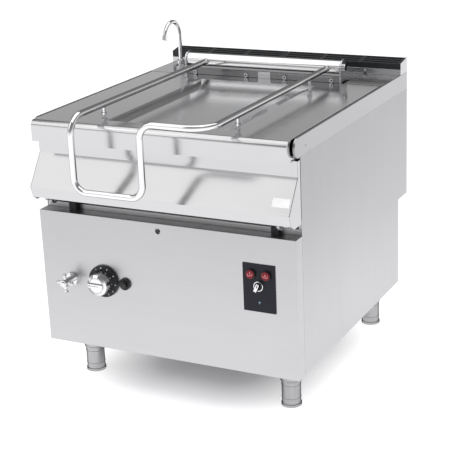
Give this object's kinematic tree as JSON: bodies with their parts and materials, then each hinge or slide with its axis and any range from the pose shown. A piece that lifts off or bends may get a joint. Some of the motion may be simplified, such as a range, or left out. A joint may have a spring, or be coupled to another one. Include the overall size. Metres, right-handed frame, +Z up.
{
  "type": "tilting bratt pan",
  "caption": "Gas-heated braising pan on a steel cabinet: it tilts forward to pour over its front lip, under a hinged lid with a tubular handle.",
  "frame": {"origin": "centre of the bounding box's underside, on the floor", "axes": "+Z up, +Y from the control panel to the back, +X to the right of a person who faces the controls"},
  "size_m": [0.85, 1.0644, 1.023],
  "materials": {
    "stainless_steel": "brushed",
    "pale_steel": "satin",
    "zinc_steel": "zinc plated",
    "chrome": "polished",
    "rubber": "matte",
    "black_enamel": "satin enamel",
    "black_plastic": "matte",
    "plate_plastic": "matte",
    "red_plastic": "gloss",
    "bronze": "machined",
    "brass": "satin",
    "grey_paint": "satin paint"
  },
  "bodies": {
    "cabinet": {"frame_uprights": "zinc_steel", "frame_side_rails": "zinc_steel", "frame_cross_rails": "zinc_steel", "front_top_rail": "pale_steel", "bottom_panel": "stainless_steel", "left_side_panel": "stainless_steel", "right_side_panel": "stainless_steel", "front_panel": "stainless_steel", "rear_panel": "stainless_steel", "left_moulding": "stainless_steel", "right_moulding": "stainless_steel", "rear_deck": "stainless_steel", "flue_body": "stainless_steel", "left_flue_grille": "black_enamel", "right_flue_grille": "black_enamel", "foot_sleeves": "stainless_steel", "pivot_brackets": "zinc_steel", "pivot_bushes": "bronze", "pan_stops": "rubber", "burner_tubes": "stainless_steel", "gas_pipework": "brass", "gas_valve": "brass", "igniter_body": "black_plastic", "dial_plate": "black_enamel", "water_valve": "chrome", "water_pipework": "stainless_steel", "control_plate": "plate_plastic", "control_box": "zinc_steel", "switch_bezels": "chrome", "tilt_gearbox": "grey_paint", "tilt_motor": "grey_paint", "spout_base": "chrome"},
    "pan": {"pan_vessel": "stainless_steel", "front_apron": "stainless_steel", "apron_cheeks": "stainless_steel", "trunnion_arms": "zinc_steel", "tilt_sector": "zinc_steel", "hinge_channel": "stainless_steel", "hinge_brackets": "stainless_steel", "hinge_fasteners": "zinc_steel", "hinge_rod": "zinc_steel", "torsion_springs": "zinc_steel"},
    "lid": {"lid_shell": "stainless_steel", "lid_liner": "pale_steel", "lid_handle": "stainless_steel", "lid_posts": "zinc_steel", "hinge_tube": "stainless_steel"},
    "spout": {"spout": "chrome"},
    "tap_handle": {"tap_handle": "chrome"},
    "control_knob": {"control_knob": "chrome"},
    "igniter_button": {"igniter_button": "black_plastic"},
    "raise_button": {"raise_button": "red_plastic"},
    "lower_button": {"lower_button": "red_plastic"},
    "selector_lever": {"selector_lever": "chrome"},
    "tilt_pinion": {"tilt_pinion": "zinc_steel"},
    "crank_shaft": {"crank_shaft": "zinc_steel"},
    "front_left_foot": {"front_left_foot": "stainless_steel"},
    "front_right_foot": {"front_right_foot": "stainless_steel"},
    "rear_left_foot": {"rear_left_foot": "stainless_steel"},
    "rear_right_foot": {"rear_right_foot": "stainless_steel"}
  },
  "joints": [
    {"name": "pan_tilt", "type": "hinge", "parent": "cabinet", "child": "pan", "pos_m": [0, -0.38575, 0.61], "axis": [1, 0, 0], "range_deg": [0, 70]},
    {"name": "lid_hinge", "type": "hinge", "parent": "pan", "child": "lid", "pos_m": [0, 0.32725, 0.898], "axis": [-1, 0, 0], "range_deg": [0, 80]},
    {"name": "tilt_pinion_turn", "type": "hinge", "parent": "cabinet", "child": "tilt_pinion", "pos_m": [0.03, 0.03253, 0.502], "axis": [1, 0, 0], "range_deg": [-775, 5]},
    {"name": "spout_swivel", "type": "hinge", "parent": "cabinet", "child": "spout", "pos_m": [-0.348, 0.39225, 0.87], "axis": [0, 0, 1], "range_deg": [-90, 90]},
    {"name": "tap_turn", "type": "hinge", "parent": "cabinet", "child": "tap_handle", "pos_m": [-0.325, -0.44175, 0.354], "axis": [0, 1, 0], "range_deg": [0, 540]},
    {"name": "knob_turn", "type": "hinge", "parent": "cabinet", "child": "control_knob", "pos_m": [-0.21, -0.42575, 0.362], "axis": [0, 1, 0], "range_deg": [0, 270]},
    {"name": "igniter_press", "type": "slide", "parent": "cabinet", "child": "igniter_button", "axis": [0, 1, 0], "range_m": [0, 0.004], "stiffness_N_per_m": 600, "springref_m": -0.002},
    {"name": "raise_press", "type": "slide", "parent": "cabinet", "child": "raise_button", "axis": [0, 1, 0], "range_m": [0, 0.003], "stiffness_N_per_m": 600, "springref_m": -0.002},
    {"name": "lower_press", "type": "slide", "parent": "cabinet", "child": "lower_button", "axis": [0, 1, 0], "range_m": [0, 0.003], "stiffness_N_per_m": 600, "springref_m": -0.002},
    {"name": "selector_turn", "type": "hinge", "parent": "cabinet", "child": "selector_lever", "pos_m": [0.309, -0.40675, 0.418], "axis": [0, 1, 0], "range_deg": [0, 60]},
    {"name": "crank_turn", "type": "hinge", "parent": "cabinet", "child": "crank_shaft", "pos_m": [-0.014, -0.19775, 0.542], "axis": [0, 1, 0], "continuous": true},
    {"name": "front_left_foot_turn", "type": "hinge", "parent": "cabinet", "child": "front_left_foot", "pos_m": [-0.344, -0.27675, 0.04], "axis": [0, 0, 1], "continuous": true},
    {"name": "front_right_foot_turn", "type": "hinge", "parent": "cabinet", "child": "front_right_foot", "pos_m": [0.344, -0.27675, 0.04], "axis": [0, 0, 1], "continuous": true},
    {"name": "rear_left_foot_turn", "type": "hinge", "parent": "cabinet", "child": "rear_left_foot", "pos_m": [-0.344, 0.39425, 0.04], "axis": [0, 0, 1], "continuous": true},
    {"name": "rear_right_foot_turn", "type": "hinge", "parent": "cabinet", "child": "rear_right_foot", "pos_m": [0.344, 0.39425, 0.04], "axis": [0, 0, 1], "continuous": true}
  ],
  "couplings": [
    {"joint": "tilt_pinion_turn", "follows": "pan_tilt", "ratio": -11}
  ]
}
